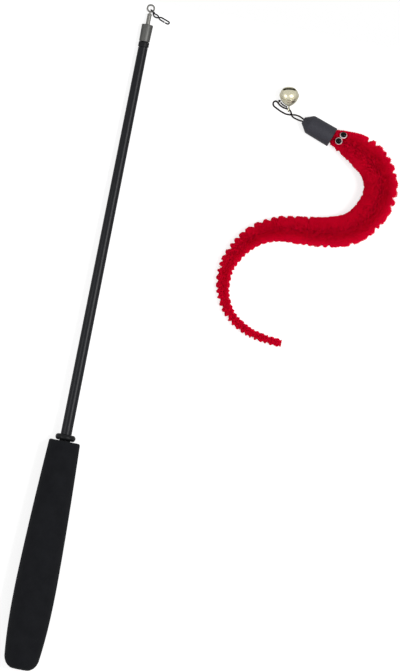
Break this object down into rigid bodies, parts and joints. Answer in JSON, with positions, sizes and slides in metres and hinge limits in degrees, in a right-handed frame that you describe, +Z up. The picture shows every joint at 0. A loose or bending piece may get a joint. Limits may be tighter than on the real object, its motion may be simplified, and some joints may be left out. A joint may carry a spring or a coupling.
{
  "type": "cat fishing rod toy",
  "caption": "Telescopic black cat wand with foam grip and snap swivel, beside its lure: a bendable red chenille worm with eyes, black cap, cord loop and jingle bell.",
  "frame": {"origin": "centre of the flat butt face at the lower end of the grip", "axes": "+Y along the wand towards its tip, which lies 1.54 degrees lower than the grip because the wand rests on its thick grip and its thin tip; +Z up from the table; +X towards the lure"},
  "size_m": [0.1755, 0.4003, 0.025],
  "materials": {
    "foam": "matte",
    "black_rubber": "satin",
    "black_trim": "satin",
    "blank": "satin",
    "steel": "satin",
    "dark_steel": "satin",
    "cap_plastic": "satin",
    "cord": "matte",
    "nickel": "gloss",
    "pellet_steel": "satin",
    "white_plastic": "gloss",
    "black_plastic": "gloss",
    "core_wire": "satin",
    "red_pile": "matte"
  },
  "bodies": {
    "rod": {"grip": "foam", "butt_cap": "black_rubber", "grip_collar": "black_trim", "outer_tube": "blank", "mouth_collar": "black_trim"},
    "middle": {"middle_tube": "blank"},
    "tip": {"tip_rod": "blank", "tip_ferrule": "steel", "swivel_barrel": "steel"},
    "swivel": {"swivel_eye": "steel"},
    "snap": {"snap_wire": "dark_steel"},
    "gate": {"snap_gate": "dark_steel"},
    "lure_head": {"lure_cap": "cap_plastic", "cord_knot": "cord", "cord_loop": "cord", "bell_tie": "cord", "tie_knot": "cord", "eye_back_1": "white_plastic", "eye_back_2": "white_plastic", "eye_pupil_1": "black_plastic", "eye_pupil_2": "black_plastic", "worm_core_0": "core_wire", "worm_pile_0": "red_pile"},
    "bell": {"bell_loop": "nickel", "bell_shank_half": "nickel", "bell_slit_half": "nickel"},
    "pellet": {"bell_pellet": "pellet_steel"},
    "worm_1": {"worm_core_1": "core_wire", "worm_pile_1": "red_pile"},
    "worm_2": {"worm_core_2": "core_wire", "worm_pile_2": "red_pile"},
    "worm_3": {"worm_core_3": "core_wire", "worm_pile_3": "red_pile"},
    "worm_4": {"worm_core_4": "core_wire", "worm_pile_4": "red_pile"},
    "worm_5": {"worm_core_5": "core_wire", "worm_pile_5": "red_pile"},
    "worm_6": {"worm_core_6": "core_wire", "worm_pile_6": "red_pile"},
    "worm_7": {"worm_core_7": "core_wire", "worm_pile_7": "red_pile"}
  },
  "joints": [
    {"name": "middle_slide", "type": "slide", "parent": "rod", "child": "middle", "axis": [0, 0.9996, -0.0269], "range_m": [0, 0.3]},
    {"name": "tip_slide", "type": "slide", "parent": "middle", "child": "tip", "axis": [0, 0.9996, -0.0269], "range_m": [0, 0.3]},
    {"name": "swivel_spin", "type": "hinge", "parent": "tip", "child": "swivel", "pos_m": [0, 0.39761, -0.0107], "axis": [0, 0.9996, -0.0269], "continuous": true},
    {"name": "snap_swing", "type": "hinge", "parent": "swivel", "child": "snap", "pos_m": [0.00143, 0.39617, -0.01066], "axis": [-0.7071, -0.7068, 0.019], "range_deg": [0, 100]},
    {"name": "snap_gate_open", "type": "hinge", "parent": "snap", "child": "gate", "pos_m": [0.00215, 0.39583, -0.00941], "axis": [0, 0, -1], "range_deg": [0, 15], "stiffness_Nm_per_rad": 0.02},
    {"name": "lure_lift", "type": "slide", "parent": "rod", "child": "lure_head", "axis": [0, 0, 1], "range_m": [0, 0.12]},
    {"name": "bell_swing", "type": "hinge", "parent": "lure_head", "child": "bell", "pos_m": [0.09161, 0.35488, -0.01217], "axis": [0.9659, -0.2588, 0], "range_deg": [0, 60]},
    {"name": "pellet_roll", "type": "hinge", "parent": "bell", "child": "pellet", "pos_m": [0.0902, 0.36285, -0.00692], "axis": [-0.1736, 0.9848, 0], "range_deg": [-40, 40]},
    {"name": "worm_bend_1", "type": "hinge", "parent": "lure_head", "child": "worm_1", "pos_m": [0.14586, 0.33392, -0.00442], "axis": [0, 0, 1], "range_deg": [-11, 15]},
    {"name": "worm_bend_2", "type": "hinge", "parent": "worm_1", "child": "worm_2", "pos_m": [0.15257, 0.30867, -0.00454], "axis": [0, 0, 1], "range_deg": [-15, 15]},
    {"name": "worm_bend_3", "type": "hinge", "parent": "worm_2", "child": "worm_3", "pos_m": [0.13393, 0.28955, -0.00517], "axis": [0, 0, 1], "range_deg": [-15, 15]},
    {"name": "worm_bend_4", "type": "hinge", "parent": "worm_3", "child": "worm_4", "pos_m": [0.10639, 0.28553, -0.00637], "axis": [0, 0, 1], "range_deg": [-15, 15]},
    {"name": "worm_bend_5", "type": "hinge", "parent": "worm_4", "child": "worm_5", "pos_m": [0.08216, 0.27329, -0.00809], "axis": [0, 0, 1], "range_deg": [-15, 15]},
    {"name": "worm_bend_6", "type": "hinge", "parent": "worm_5", "child": "worm_6", "pos_m": [0.07327, 0.24766, -0.00971], "axis": [0, 0, 1], "range_deg": [-15, 15]},
    {"name": "worm_bend_7", "type": "hinge", "parent": "worm_6", "child": "worm_7", "pos_m": [0.08715, 0.22468, -0.01083], "axis": [0, 0, 1], "range_deg": [-15, 15]}
  ]
}
